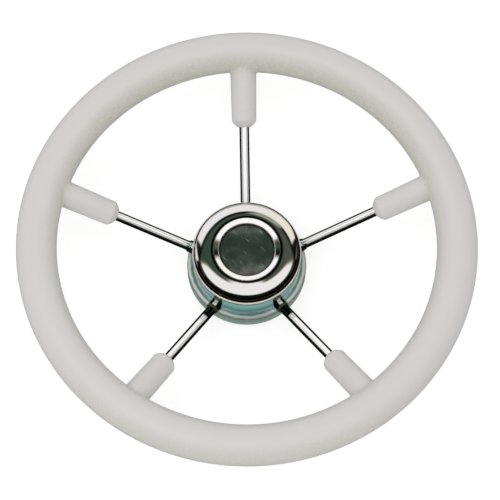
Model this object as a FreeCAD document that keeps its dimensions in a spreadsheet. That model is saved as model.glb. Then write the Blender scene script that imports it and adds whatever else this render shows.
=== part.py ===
import FreeCAD, Part
import os
import re
import Sketcher
from FreeCAD import Placement, Rotation, Vector

# A five-spoke boat steering wheel. The origin is the centre of the hub's back face, +Z runs along
# the wheel's axis towards the driver, and the first spoke points to +Y.

doc = FreeCAD.newDocument("BoatSteeringWheel")
sheet = doc.addObject("Spreadsheet::Sheet", "Sizes")

driving_sizes = {
    "wheel_diameter": (350, "outside of the grip"),
    "grip_diameter": (31, "section of the moulded rim"),
    "rim_height": (58, "plane of the rim above the hub's back face"),
    "core_diameter": (10, "bar of the ring inside the grip"),
    "spoke_count": (5, "spokes, sleeves, ferrules, sockets and screws"),
    "spoke_diameter": (7.6, "polished rod"),
    "spoke_foot_height": (15.5, "where a rod's axis meets the drum's wall"),
    "spoke_end_bevel": (0.5, "inner end of a rod"),
    "socket_floor_radius": (17, "where the rods end inside the boss"),
    "sleeve_root_diameter": (20.7, "sleeve at the rim's core"),
    "sleeve_tip_diameter": (19, "sleeve where its nose begins"),
    "sleeve_reach": (58.5, "from the rim's core to the end of the nose, along the spoke"),
    "sleeve_nose_length": (5, "bevelled end of the sleeve"),
    "sleeve_mouth_diameter": (8.8, "end face of the nose, round the rod"),
    "sleeve_nose_radius": (12, "curve of the nose"),
    "sleeve_root_fillet": (1.5, "between a sleeve and the rim"),
    "drum_diameter": (84, "outside of the hub's upright wall"),
    "drum_wall": (1.5, "sheet of the drum"),
    "drum_height": (36.5, "top edge of the drum above the back face"),
    "drum_edge_radius": (0.6, "rounded top edge of the drum"),
    "dish_wall": (2, "sheet of the dish"),
    "dish_height": (15, "shoulder of the dish above the back face"),
    "shoulder_width": (4, "dish beyond the drum's wall"),
    "shoulder_radius": (2.6, "outside of the bend at the shoulder"),
    "heel_radius": (3.4, "outside of the bend at the back"),
    "boss_diameter": (46, "outside of the boss"),
    "boss_height": (28, "front face of the boss above the back face"),
    "boss_bevel": (1, "front edge of the boss"),
    "flange_diameter": (62, "flange of the boss inside the dish"),
    "flange_thickness": (4, "flange of the boss"),
    "taper_diameter": (19.05, "large end of the tapered bore"),
    "taper_ratio": (12, "length over change of diameter"),
    "key_width": (4.8, "keyway across"),
    "key_depth": (2.4, "keyway beyond the bore's wall"),
    "nut_recess_diameter": (27, "room for the shaft's washer"),
    "nut_recess_depth": (3, "room for the shaft's washer"),
    "ferrule_diameter": (9.4, "ring round a rod's foot"),
    "ferrule_length": (5.6, "ring outside the drum's wall"),
    "ferrule_bevel": (0.6, "outer edge of the ring"),
    "cap_diameter": (83.4, "over the rolled lip"),
    "cap_wall": (1.2, "sheet of the cap"),
    "cap_rise": (7, "from the lip to the foot of the bead"),
    "cap_lip_radius": (0.9, "rolled lip"),
    "cap_edge_radius": (4, "tighter bend of the dome above the lip"),
    "bead_slope_width": (4.2, "bead from the disc's seat out to its crest"),
    "bead_fall": (1.5, "crest of the bead above its inner edge"),
    "bead_flank_width": (0.5, "bead outside its crest"),
    "bead_rise": (0.7, "crest of the bead above the dome"),
    "bead_bend": (0.8, "curve of the bead's outer side"),
    "disc_diameter": (42.2, "disc in the middle of the cap"),
    "disc_thickness": (1.4, "disc in the middle of the cap"),
    "disc_bevel": (0.3, "edge of the disc"),
    "disc_seat_depth": (3.7, "from the foot of the bead down to the disc's seat"),
    "cap_ring_bore": (72, "opening of the ring inside the cap"),
    "cap_ring_depth": (5.5, "cap ring below the drum's top edge"),
    "cap_ring_rise": (1.8, "collar of the cap ring inside the lip"),
    "o_ring_section": (2.5, "rubber ring"),
    "o_ring_depth": (3, "middle of the rubber ring below the drum's top edge"),
    "screw_circle": (54, "circle through the dish screws"),
    "screw_diameter": (4, "thread of the dish screws"),
    "screw_length": (5.6, "dish screws over all"),
    "screw_head_diameter": (7.6, "countersunk head"),
    "screw_sink": (0.2, "head below the back face"),
    "screw_drive": (2.5, "hexagon socket across its flats"),
    "screw_drive_depth": (1.2, "hexagon socket"),
    "tight_gap": (0.05, "clearance round the rods and of moulded or turned fits"),
    "sheet_gap": (0.1, "clearance round the drum, the dish and the cap ring"),
}
for row, (alias, (value, note)) in enumerate(driving_sizes.items(), start=1):
    sheet.set(f"A{row}", alias)
    sheet.set(f"B{row}", str(value))
    sheet.set(f"C{row}", note)
    sheet.setAlias(f"B{row}", alias)
doc.recompute()

alias_pattern = re.compile(r"\b(" + "|".join(driving_sizes) + r")\b")

# Places worked out from the driving sizes, as expressions.
rim_radius = "(wheel_diameter - grip_diameter) / 2"
drum_radius = "drum_diameter / 2"
drum_bore_radius = f"({drum_radius} - drum_wall)"
dish_radius = f"({drum_radius} + shoulder_width)"
spoke_radius = "spoke_diameter / 2"
spoke_slope = f"atan((rim_height - spoke_foot_height) / ({rim_radius} - {drum_radius}))"
spoke_length = f"({rim_radius} - socket_floor_radius) / cos({spoke_slope})"
wall_distance = f"({rim_radius} - {drum_radius}) / cos({spoke_slope})"
spoke_pitch = "360 deg / spoke_count"
taper_length = "(boss_height - nut_recess_depth)"
small_end_radius = f"(taper_diameter - {taper_length} / taper_ratio) / 2"
flange_top = "(dish_wall + flange_thickness)"
cap_edge = "(cap_diameter / 2 - cap_lip_radius)"
cap_lip_top = "(drum_height + 2 * cap_lip_radius)"
bead_foot = f"({cap_lip_top} + cap_rise)"
disc_seat_radius = "(disc_diameter / 2 + sheet_gap)"
bead_crest_radius = f"({disc_seat_radius} + bead_slope_width)"
bead_outer_radius = f"({bead_crest_radius} + bead_flank_width)"
bead_crest = f"({bead_foot} + bead_rise)"
bead_inner_edge = f"({bead_crest} - bead_fall)"
bead_lean = "atan(bead_fall / bead_slope_width)"
disc_seat = f"({bead_foot} - disc_seat_depth)"
cap_ring_floor = "(drum_height - cap_ring_depth)"
cap_ring_step = "(drum_height - sheet_gap)"
o_ring_height = "(drum_height - o_ring_depth)"
o_ring_radius = f"({drum_bore_radius} - tight_gap - o_ring_section / 2)"


def cells(expression):
    """The expression with every alias read from the sheet."""
    return alias_pattern.sub(r"Sizes.\1", expression)


def bind(thing, target, expression):
    """Ties a property of an object to the sheet."""
    thing.setExpression(target, cells(expression))


def value_of(expression):
    """What the expression gives with the sheet's present sizes."""
    return float(sheet.evalExpression(cells(expression)))


def new_body(name, turn=None):
    """A sub-part, turned about the wheel's axis where it is one of several."""
    body = doc.addObject("PartDesign::Body", name)
    body.Label = name
    if turn is not None:
        bind(body, "Placement.Rotation.Angle", turn)
    return body


def origin_feature(body, role):
    """An axis or a plane of the body's own origin."""
    return next(f for f in body.Origin.OriginFeatures if f.Role == role)


def new_sketch(body, name, role):
    """A sketch on one of the body's origin planes."""
    sketch = body.newObject("Sketcher::SketchObject", name)
    sketch.AttachmentSupport = [(origin_feature(body, role), "")]
    sketch.MapMode = "FlatFace"
    return sketch


def round_sketch(body, name):
    """A sketch whose X is the distance from the wheel's axis and whose Y is the height."""
    return new_sketch(body, name, "XZ_Plane")


def spoke_sketch(body, name):
    """A sketch whose X runs down the first spoke's axis from the rim's core to the hub."""
    sketch = new_sketch(body, name, "YZ_Plane")
    bind(sketch, "AttachmentOffset.Base.x", rim_radius)
    bind(sketch, "AttachmentOffset.Base.y", "rim_height")
    bind(sketch, "AttachmentOffset.Rotation.Angle", f"180 deg + {spoke_slope}")
    return sketch


def between_spokes(sketch, axis):
    """Turns a sketch about the wheel's axis to half way between two spokes."""
    sketch.AttachmentOffset = Placement(Vector(), Rotation(axis, 1))
    bind(sketch, "AttachmentOffset.Rotation.Angle", f"({spoke_pitch}) / 2")
    return sketch


def bend(start, end, radius, turn):
    """An arc from start to end that turns left (1) or right (-1) on its way."""
    chord = end - start
    across = Vector(-chord.y, chord.x, 0).normalize() * turn
    rise = max(radius**2 - chord.Length**2 / 4, 0) ** 0.5
    circle = Part.Circle((start + end) / 2 + across * rise, Vector(0, 0, 1), radius)
    first, last = (start, end) if turn > 0 else (end, start)
    return Part.ArcOfCircle(circle, circle.parameter(first), circle.parameter(last))


def place_point(sketch, edge, end, where):
    """Ties an end of an edge to its two distances from the sketch's origin."""
    for kind, expression, axis in (("DistanceX", where[0], -2), ("DistanceY", where[1], -1)):
        if expression == "0":
            sketch.addConstraint(Sketcher.Constraint("PointOnObject", edge, end, axis))
            continue
        distance = Sketcher.Constraint(kind, -1, 1, edge, end, value_of(expression))
        index = sketch.addConstraint(distance)
        bind(sketch, f"Constraints[{index}]", expression)


def place_radius(sketch, edge, radius):
    """Ties the radius of an arc or a circle."""
    index = sketch.addConstraint(Sketcher.Constraint("Radius", edge, value_of(radius)))
    bind(sketch, f"Constraints[{index}]", radius)


def draw_outline(sketch, corners, bends=None):
    """A closed outline through the corners. A bend gives its side's radius and its turn."""
    bends = bends or {}
    points = [Vector(value_of(x), value_of(y), 0) for x, y in corners]
    edges = []
    for side, start in enumerate(points):
        end = points[(side + 1) % len(points)]
        if side in bends:
            radius, turn = bends[side]
            edge = sketch.addGeometry(bend(start, end, value_of(radius), turn), False)
            place_radius(sketch, edge, radius)
            ends = (1, 2) if turn > 0 else (2, 1)
        else:
            edge = sketch.addGeometry(Part.LineSegment(start, end), False)
            ends = (1, 2)
        edges.append((edge, *ends))
    for side, (edge, first, _) in enumerate(edges):
        before, _, last = edges[side - 1]
        sketch.addConstraint(Sketcher.Constraint("Coincident", before, last, edge, first))
        place_point(sketch, edge, first, corners[side])
    return sketch


def draw_circle(sketch, centre, radius):
    """A circle tied to its centre and radius."""
    middle = Vector(value_of(centre[0]), value_of(centre[1]), 0)
    edge = sketch.addGeometry(Part.Circle(middle, Vector(0, 0, 1), value_of(radius)), False)
    place_point(sketch, edge, 3, centre)
    place_radius(sketch, edge, radius)
    return sketch


def rod_outline(sketch, start, end, radius):
    """Half the section of a round rod along the sketch's X axis."""
    corners = [(start, "0"), (end, "0"), (end, radius), (start, radius)]
    return draw_outline(sketch, corners)


def spin(body, kind, name, sketch, axis="V_Axis"):
    """Turns a sketch about its own upright or level axis, or about one of its sides."""
    feature = body.newObject(f"PartDesign::{kind}", name)
    feature.Profile = sketch
    feature.ReferenceAxis = (sketch, [axis])
    feature.Angle = 360
    sketch.Visibility = False
    return feature


def repeat(body, name, features):
    """Repeats features once for each spoke."""
    pattern = body.newObject("PartDesign::PolarPattern", name)
    pattern.Originals = features
    pattern.Axis = (origin_feature(body, "Z_Axis"), [""])
    pattern.Angle = 360
    bind(pattern, "Occurrences", "spoke_count")
    body.Tip = pattern
    return pattern


def cut_round_spokes(body, name, start, end, radius):
    """Clears a round way along every spoke's axis."""
    sketch = rod_outline(spoke_sketch(body, f"{name}_section"), start, end, radius)
    groove = spin(body, "Groove", f"{name}_first", sketch, "H_Axis")
    return repeat(body, name, [groove])


def rim_core():
    """The steel ring inside the grip."""
    body = new_body("rim_core")
    sketch = draw_circle(round_sketch(body, "bar"), (rim_radius, "rim_height"), "core_diameter / 2")
    spin(body, "Revolution", "ring", sketch)
    return body


def rim_grip():
    """The moulded rim and its five sleeves, hollow where the ring and the rods lie."""
    body = new_body("rim_grip")
    section = round_sketch(body, "rim_section")
    draw_circle(section, (rim_radius, "rim_height"), "grip_diameter / 2")
    spin(body, "Revolution", "rim", section)

    nose_start = "(sleeve_reach - sleeve_nose_length)"
    side = spoke_sketch(body, "sleeve_side")
    corners = [
        ("0", "0"),
        ("sleeve_reach", "0"),
        ("sleeve_reach", "sleeve_mouth_diameter / 2"),
        (nose_start, "sleeve_tip_diameter / 2"),
        ("0", "sleeve_root_diameter / 2"),
    ]
    draw_outline(side, corners, {2: ("sleeve_nose_radius", 1)})
    sleeve = spin(body, "Revolution", "sleeve", side, "H_Axis")
    repeat(body, "sleeves", [sleeve])
    doc.recompute()

    # The sleeves meet the rim's round face in the only edges of it that aren't circles.
    joined = body.Tip
    rim_face = max(joined.Shape.Faces, key=lambda face: face.Area)
    roots = [edge for edge in rim_face.Edges if not isinstance(edge.Curve, Part.Circle)]
    names = [
        f"Edge{number}"
        for number, edge in enumerate(joined.Shape.Edges, start=1)
        if any(edge.isSame(root) for root in roots)
    ]
    blend = body.newObject("PartDesign::Fillet", "sleeve_roots")
    blend.Base = (joined, names)
    bind(blend, "Radius", "sleeve_root_fillet")
    body.Tip = blend

    core = round_sketch(body, "core_section")
    draw_circle(core, (rim_radius, "rim_height"), "core_diameter / 2 + tight_gap")
    spin(body, "Groove", "core_way", core)
    cut_round_spokes(body, "rod_ways", "0", "sleeve_reach + 1", f"{spoke_radius} + tight_gap")
    return body


def spoke(number):
    """A rod, coped over the rim's core at its outer end."""
    body = new_body(f"spoke_{number}", f"{spoke_pitch} * {number - 1}")
    side = spoke_sketch(body, "rod_side")
    corners = [
        ("0", "0"),
        (spoke_length, "0"),
        (spoke_length, f"{spoke_radius} - spoke_end_bevel"),
        (f"{spoke_length} - spoke_end_bevel", spoke_radius),
        ("0", spoke_radius),
    ]
    spin(body, "Revolution", "rod", draw_outline(side, corners), "H_Axis")
    core = round_sketch(body, "core_section")
    draw_circle(core, (rim_radius, "rim_height"), "core_diameter / 2 + tight_gap")
    spin(body, "Groove", "coped_end", core)
    return body


def spoke_ferrule(number):
    """A ring round a rod's foot, trimmed to the drum's round wall."""
    body = new_body(f"spoke_ferrule_{number}", f"{spoke_pitch} * {number - 1}")
    outer_end = f"({wall_distance} - ferrule_length)"
    bore = f"{spoke_radius} + tight_gap"
    side = spoke_sketch(body, "ferrule_side")
    corners = [
        (outer_end, bore),
        (f"{wall_distance} + drum_wall", bore),
        (f"{wall_distance} + drum_wall", "ferrule_diameter / 2"),
        (f"{outer_end} + ferrule_bevel", "ferrule_diameter / 2"),
        (outer_end, "ferrule_diameter / 2 - ferrule_bevel"),
    ]
    spin(body, "Revolution", "ring", draw_outline(side, corners), "H_Axis")
    wall = round_sketch(body, "drum_room")
    reach = f"{drum_radius} + tight_gap"
    draw_outline(wall, [("0", "0"), (reach, "0"), (reach, "drum_height"), ("0", "drum_height")])
    spin(body, "Groove", "saddle", wall)
    return body


def hub_drum():
    """The upright wall of the hub, standing on the dish, with a hole for every rod."""
    body = new_body("hub_drum")
    edge = "drum_edge_radius"
    corners = [
        (drum_bore_radius, "dish_wall"),
        (drum_radius, "dish_wall"),
        (drum_radius, f"drum_height - {edge}"),
        (f"{drum_radius} - {edge}", "drum_height"),
        (f"{drum_bore_radius} + {edge}", "drum_height"),
        (drum_bore_radius, f"drum_height - {edge}"),
    ]
    wall = draw_outline(round_sketch(body, "wall"), corners, {2: (edge, 1), 4: (edge, 1)})
    spin(body, "Revolution", "drum", wall)
    room = "2 * spoke_diameter"
    cut_round_spokes(
        body, "rod_holes", f"{wall_distance} - {room}", f"{wall_distance} + {room}",
        f"{spoke_radius} + sheet_gap",
    )
    return body


def hub_dish():
    """The pressed base round the drum, with a saddle for every ferrule."""
    body = new_body("hub_dish")
    bore = "boss_diameter / 2 + sheet_gap"
    mouth = f"{drum_radius} + sheet_gap"
    heel_inside = "heel_radius - dish_wall"
    shoulder_inside = "shoulder_radius - dish_wall"
    corners = [
        (bore, "0"),
        (f"{dish_radius} - heel_radius", "0"),
        (dish_radius, "heel_radius"),
        (dish_radius, "dish_height - shoulder_radius"),
        (f"{dish_radius} - shoulder_radius", "dish_height"),
        (mouth, "dish_height"),
        (mouth, "dish_height - dish_wall"),
        (f"{dish_radius} - shoulder_radius", "dish_height - dish_wall"),
        (f"{dish_radius} - dish_wall", "dish_height - shoulder_radius"),
        (f"{dish_radius} - dish_wall", "heel_radius"),
        (f"{dish_radius} - heel_radius", "dish_wall"),
        (bore, "dish_wall"),
    ]
    bends = {
        1: ("heel_radius", 1),
        3: ("shoulder_radius", 1),
        7: (shoulder_inside, -1),
        9: (heel_inside, -1),
    }
    spin(body, "Revolution", "dish", draw_outline(round_sketch(body, "sheet"), corners, bends))
    cut_round_spokes(
        body, "saddles", f"{wall_distance} - 2 * ferrule_length",
        f"{wall_distance} + 2 * ferrule_length", "ferrule_diameter / 2 + sheet_gap",
    )

    head_depth = "(screw_head_diameter - screw_diameter) / 2"
    hole = between_spokes(new_sketch(body, "screw_hole", "YZ_Plane"), Vector(0, 1, 0))
    axis = "screw_circle / 2"
    corners = [
        (axis, "0"),
        (f"{axis} + screw_head_diameter / 2 + sheet_gap", "0"),
        (f"{axis} + screw_head_diameter / 2 + sheet_gap", "screw_sink"),
        (f"{axis} + screw_diameter / 2 + sheet_gap", f"screw_sink + {head_depth}"),
        (f"{axis} + screw_diameter / 2 + sheet_gap", "dish_wall + screw_sink"),
        (axis, "dish_wall + screw_sink"),
    ]
    draw_outline(hole, corners)
    repeat(body, "screw_holes", [spin(body, "Groove", "countersink", hole, "Edge6")])
    return body


def hub_boss():
    """The turned boss with the tapered bore, its keyway and a socket for every rod."""
    body = new_body("hub_boss")
    boss = "boss_diameter / 2"
    corners = [
        ("taper_diameter / 2", "0"),
        (boss, "0"),
        (boss, "dish_wall"),
        ("flange_diameter / 2", "dish_wall"),
        ("flange_diameter / 2", flange_top),
        (boss, flange_top),
        (boss, "boss_height - boss_bevel"),
        (f"{boss} - boss_bevel", "boss_height"),
        ("nut_recess_diameter / 2", "boss_height"),
        ("nut_recess_diameter / 2", taper_length),
        (small_end_radius, taper_length),
    ]
    spin(body, "Revolution", "turned", draw_outline(round_sketch(body, "half_section"), corners))

    key = new_sketch(body, "keyway_side", "YZ_Plane")
    key_corners = [
        ("0", "0"),
        ("taper_diameter / 2 + key_depth", "0"),
        (f"{small_end_radius} + key_depth", taper_length),
        ("0", taper_length),
    ]
    draw_outline(key, key_corners)
    keyway = body.newObject("PartDesign::Pocket", "keyway")
    keyway.Profile = key
    keyway.SideType = "Symmetric"
    bind(keyway, "Length", "key_width")
    key.Visibility = False

    cut_round_spokes(
        body, "sockets", f"{wall_distance} - ferrule_length", spoke_length,
        f"{spoke_radius} + tight_gap",
    )

    hole = between_spokes(new_sketch(body, "screw_hole", "YZ_Plane"), Vector(0, 1, 0))
    axis = "screw_circle / 2"
    wall = f"{axis} + screw_diameter / 2 + tight_gap"
    corners = [(axis, "0"), (wall, "0"), (wall, flange_top), (axis, flange_top)]
    draw_outline(hole, corners)
    repeat(body, "screw_holes", [spin(body, "Groove", "threaded_hole", hole, "Edge4")])
    return body


def dish_screws():
    """The countersunk screws that hold the dish to the boss's flange."""
    body = new_body("dish_screws")
    body.AllowCompound = True
    side = between_spokes(new_sketch(body, "screw_side", "YZ_Plane"), Vector(0, 1, 0))
    axis = "screw_circle / 2"
    head_depth = "(screw_head_diameter - screw_diameter) / 2"
    corners = [
        (axis, "screw_sink"),
        (f"{axis} + screw_head_diameter / 2", "screw_sink"),
        (f"{axis} + screw_diameter / 2", f"screw_sink + {head_depth}"),
        (f"{axis} + screw_diameter / 2", "screw_sink + screw_length"),
        (axis, "screw_sink + screw_length"),
    ]
    draw_outline(side, corners)
    screw = spin(body, "Revolution", "screw", side, "Edge5")

    drive = between_spokes(new_sketch(body, "drive_outline", "XY_Plane"), Vector(0, 0, 1))
    corner_radius = "screw_drive / sqrt(3)"
    angles = [f"{60 * corner} deg" for corner in range(6)]
    draw_outline(drive, [
        (f"{corner_radius} * cos({angle})", f"{axis} + {corner_radius} * sin({angle})")
        for angle in angles
    ])
    socket = body.newObject("PartDesign::Pocket", "drive")
    socket.Profile = drive
    socket.Reversed = True
    bind(socket, "Length", "screw_sink + screw_drive_depth")
    drive.Visibility = False
    repeat(body, "screws", [screw, socket])
    return body


def dome_points(inset):
    """Where the dome's wide curve starts, meets the tighter bend and ends, inset from its skin."""
    span = f"({cap_edge} - {bead_outer_radius})"
    tight = "cap_edge_radius"
    wide = f"((({span} - {tight})^2 + cap_rise^2 - {tight}^2) / (2 * (cap_rise - {tight})))"
    lean = f"(({span} - {tight}) / ({wide} - {tight}))"
    wide_inset = f"({wide} - {inset})"
    start = (bead_outer_radius, f"{bead_foot} - {inset}")
    meet = (
        f"{bead_outer_radius} + {wide_inset} * {lean}",
        f"{bead_foot} - {wide} + {wide_inset} * sqrt(1 - {lean}^2)",
    )
    end = (f"{cap_edge} - {inset}", cap_lip_top)
    return start, meet, end, wide_inset, f"{tight} - {inset}"


def centre_cap():
    """The pressed cap: rolled lip, dome, a bead that slopes inwards and the disc's seat."""
    body = new_body("centre_cap")
    start, meet, end, wide, tight = dome_points("0")
    start_in, meet_in, end_in, wide_in, tight_in = dome_points("cap_wall")
    seat_wall = f"{disc_seat_radius} + cap_wall"
    corners = [
        ("0", disc_seat),
        ("0", f"{disc_seat} - cap_wall"),
        (seat_wall, f"{disc_seat} - cap_wall"),
        (seat_wall, f"{bead_inner_edge} - cap_wall * (1 / cos({bead_lean}) - tan({bead_lean}))"),
        (bead_crest_radius, f"{bead_crest} - cap_wall / cos({bead_lean})"),
        start_in,
        meet_in,
        end_in,
        (f"{cap_edge} - cap_wall", "drum_height"),
        (cap_edge, "drum_height"),
        ("cap_diameter / 2", "drum_height + cap_lip_radius"),
        end,
        meet,
        start,
        (bead_crest_radius, bead_crest),
        (disc_seat_radius, bead_inner_edge),
        (disc_seat_radius, disc_seat),
    ]
    bends = {
        5: (wide_in, -1),
        6: (tight_in, -1),
        9: ("cap_lip_radius", 1),
        10: ("cap_lip_radius", 1),
        11: (tight, 1),
        12: (wide, 1),
        13: ("bead_bend", 1),
    }
    spin(body, "Revolution", "cap", draw_outline(round_sketch(body, "sheet"), corners, bends))
    return body


def cap_disc():
    """The plain round disc seated inside the bead."""
    body = new_body("cap_disc")
    top = f"{disc_seat} + disc_thickness"
    corners = [
        ("0", disc_seat),
        ("disc_diameter / 2", disc_seat),
        ("disc_diameter / 2", f"{top} - disc_bevel"),
        ("disc_diameter / 2 - disc_bevel", top),
        ("0", top),
    ]
    spin(body, "Revolution", "disc", draw_outline(round_sketch(body, "half_section"), corners))
    return body


def cap_ring():
    """The ring inside the cap, with a groove for the rubber ring that grips the drum's bore."""
    body = new_body("cap_ring")
    bore = "cap_ring_bore / 2"
    outside = f"{drum_bore_radius} - sheet_gap"
    collar = f"{cap_edge} - cap_wall - sheet_gap"
    groove_floor = f"{o_ring_radius} - o_ring_section / 2 - tight_gap"
    half_groove = "(o_ring_section / 2 + tight_gap)"
    corners = [
        (bore, cap_ring_floor),
        (outside, cap_ring_floor),
        (outside, f"{o_ring_height} - {half_groove}"),
        (groove_floor, f"{o_ring_height} - {half_groove}"),
        (groove_floor, f"{o_ring_height} + {half_groove}"),
        (outside, f"{o_ring_height} + {half_groove}"),
        (outside, cap_ring_step),
        (collar, cap_ring_step),
        (collar, f"{cap_ring_step} + cap_ring_rise"),
        (bore, f"{cap_ring_step} + cap_ring_rise"),
    ]
    spin(body, "Revolution", "ring", draw_outline(round_sketch(body, "half_section"), corners))
    return body


def cap_o_ring():
    """The rubber ring in the cap ring's groove."""
    body = new_body("cap_o_ring")
    middle = (o_ring_radius, o_ring_height)
    section = draw_circle(round_sketch(body, "section"), middle, "o_ring_section / 2")
    spin(body, "Revolution", "ring", section)
    return body


spoke_numbers = range(1, int(value_of("spoke_count")) + 1)
parts = [rim_core(), rim_grip(), hub_drum(), hub_dish(), hub_boss(), dish_screws()]
parts += [centre_cap(), cap_disc(), cap_ring(), cap_o_ring()]
parts += [make(number) for make in (spoke, spoke_ferrule) for number in spoke_numbers]
doc.recompute()

for thing in doc.Objects:
    if "Invalid" in thing.State or "Error" in thing.State:
        raise RuntimeError(f"{thing.Label} failed: {thing.State}")
for part in parts:
    if part.Shape.isNull() or not part.Shape.isValid():
        raise RuntimeError(f"{part.Label} has no valid shape")

os.makedirs("parts", exist_ok=True)
for part in parts:
    part.Shape.exportStep(f"parts/{part.Label}.step")
    print(part.Label, len(part.Shape.Solids), "solids", round(part.Shape.Volume), "mm3")
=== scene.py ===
# A boat steering wheel: a white moulded grip on polished rods, and a mirror-polished hub with a domed cap.
# Lengths are in metres. The wheel's axis is +Z, and the first spoke points to +Y.

import math

import bpy
import numpy as np
from mathutils import Matrix, Vector


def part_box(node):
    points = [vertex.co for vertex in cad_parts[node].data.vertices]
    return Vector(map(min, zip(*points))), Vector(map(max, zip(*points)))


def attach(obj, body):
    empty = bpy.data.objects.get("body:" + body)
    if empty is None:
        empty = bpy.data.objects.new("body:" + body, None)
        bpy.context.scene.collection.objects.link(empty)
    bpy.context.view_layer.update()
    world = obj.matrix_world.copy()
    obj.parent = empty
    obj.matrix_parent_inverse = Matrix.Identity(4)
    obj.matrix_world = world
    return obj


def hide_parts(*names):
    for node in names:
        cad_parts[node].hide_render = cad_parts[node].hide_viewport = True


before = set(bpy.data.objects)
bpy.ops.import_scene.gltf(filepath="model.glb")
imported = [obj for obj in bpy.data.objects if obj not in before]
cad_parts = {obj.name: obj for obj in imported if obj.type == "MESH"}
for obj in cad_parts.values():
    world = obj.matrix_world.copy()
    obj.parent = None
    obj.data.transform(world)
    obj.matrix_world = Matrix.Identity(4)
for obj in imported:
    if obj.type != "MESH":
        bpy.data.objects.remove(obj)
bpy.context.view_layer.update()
scene = bpy.context.scene
print("packed wheel loaded")

wheel = {
    "spokes": 5,
    "rodFootHeight": 0.0155,  # where a rod's axis meets the drum's wall
    "tightGap": 0.00005,  # round the ring and the rods inside the grip
    "sheetGap": 0.0001,  # round the disc in the cap
}

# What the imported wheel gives: the ring inside the grip, the hub's walls, the cap and the rods.
coreLow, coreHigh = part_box("rim_core")
capLow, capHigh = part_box("centre_cap")
discLow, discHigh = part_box("cap_disc")
rodLow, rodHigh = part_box("spoke_1")
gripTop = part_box("rim_grip")[1].z
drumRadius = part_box("hub_drum")[1].x
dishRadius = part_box("hub_dish")[1].x
coreRadius = (coreHigh.z - coreLow.z) / 2
rimHeight = (coreHigh.z + coreLow.z) / 2
rimRadius = coreHigh.x - coreRadius
rodRadius = (rodHigh.x - rodLow.x) / 2
slope = math.atan2(rimHeight - wheel["rodFootHeight"], rimRadius - drumRadius)
pitch = 2 * math.pi / wheel["spokes"]


def makePiece(name, points, faces, normals, material, slotName, nodeName):
    # A mesh of worked-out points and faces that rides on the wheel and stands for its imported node.
    mesh = bpy.data.meshes.new(name)
    mesh.from_pydata(points, [], faces)
    mesh.polygons.foreach_set("use_smooth", np.ones(len(mesh.polygons), dtype=bool))
    mesh.normals_split_custom_set_from_vertices(normals)
    mesh.materials.append(material)
    piece = bpy.data.objects.new(name, mesh)
    scene.collection.objects.link(piece)
    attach(piece, "root")
    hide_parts(nodeName)


def cellFaces(index, closeRows=False, closeColumns=False):
    # The corners of every cell of a grid of vertex numbers, each cell turned the same way.
    if closeRows:
        index = np.concatenate([index, index[:1]], axis=0)
    if closeColumns:
        index = np.concatenate([index, index[:, :1]], axis=1)
    corners = [index[:-1, :-1], index[1:, :-1], index[1:, 1:], index[:-1, 1:]]
    return np.stack(corners, axis=-1).reshape(-1, 4)


def turnAboutAxis(points, angle):
    # Turns points about the wheel's axis: x cos a - y sin a, x sin a + y cos a, z.
    cosine, sine = np.cos(angle), np.sin(angle)
    x = points[..., 0] * cosine - points[..., 1] * sine
    y = points[..., 0] * sine + points[..., 1] * cosine
    return np.stack([x, y, points[..., 2] + 0 * x], axis=-1)


def repeatRound(points):
    # One copy of the points for each spoke, turned by the pitch.
    turns = np.arange(wheel["spokes"]).reshape([-1] + [1] * (points.ndim - 1))
    return turnAboutAxis(points[None], turns * pitch)


# Outlines: points of a section as distance from the axis and height, each with its outward normal.

def arc(centre, radius, start, end, steps=6, hollow=False):
    # Points at centre + radius (cos a, sin a), from one angle in degrees to the other.
    angle = np.radians(np.linspace(start, end, steps + 1))
    outward = np.stack([np.cos(angle), np.sin(angle)], axis=1)
    return np.array(centre) + radius * outward, -outward if hollow else outward


def joinOutline(arcs, step):
    # Joins arcs by straight lines and adds points on the long ones, no further apart than step. Place
    # and normal follow the distance along the outline by straight proportion.
    points = np.concatenate([part[0] for part in arcs])
    normals = np.concatenate([part[1] for part in arcs])
    along = np.concatenate([[0], np.cumsum(np.linalg.norm(np.diff(points, axis=0), axis=1))])
    keep = np.concatenate([[True], np.diff(along) > 1e-9])
    along, points, normals = along[keep], points[keep], normals[keep]
    added = np.arange(step / 2, along[-1], step)
    nearest = np.abs(added[:, None] - along[None]).min(axis=1)
    places = np.union1d(along, added[nearest > 0.4 * step])
    columns = np.concatenate([points, normals], axis=1)
    filled = np.stack([np.interp(places, along, column) for column in columns.T], axis=1)
    filled[:, 2:] /= np.linalg.norm(filled[:, 2:], axis=1, keepdims=True)
    return filled[:, :2], filled[:, 2:]


def makeTurnedPiece(name, outline, turns, *looks):
    # Carries an outline, which starts and ends beside the axis, round it: x = r cos a, y = r sin a, z =
    # height, one row for each angle. A pole at each end closes it.
    angles = np.arange(turns) * 2 * math.pi / turns
    points, normals = (
        turnAboutAxis(np.stack([part[:, 0], 0 * part[:, 0], part[:, 1]], axis=-1)[None], angles[:, None])
        for part in outline
    )
    index = np.arange(points[..., 0].size).reshape(points.shape[:2])
    following = np.roll(index, -1, axis=0)
    first, last = index.size, index.size + 1
    ends = [[0, 0, outline[0][0, 1]], [0, 0, outline[0][-1, 1]]]
    endNormals = [[0, 0, side] for side in np.sign(outline[1][[0, -1], 1])]
    points = np.concatenate([points.reshape(-1, 3), ends])
    normals = np.concatenate([normals.reshape(-1, 3), endNormals])
    faces = cellFaces(index, closeRows=True).tolist()
    faces += [[first, following[n, 0], index[n, 0]] for n in range(turns)]
    faces += [[last, index[n, -1], following[n, -1]] for n in range(turns)]
    makePiece(name, points, faces, normals, *looks)


# A place along a spoke is its distance down the first spoke's axis from the ring, and its angle and
# distance round it.

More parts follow.
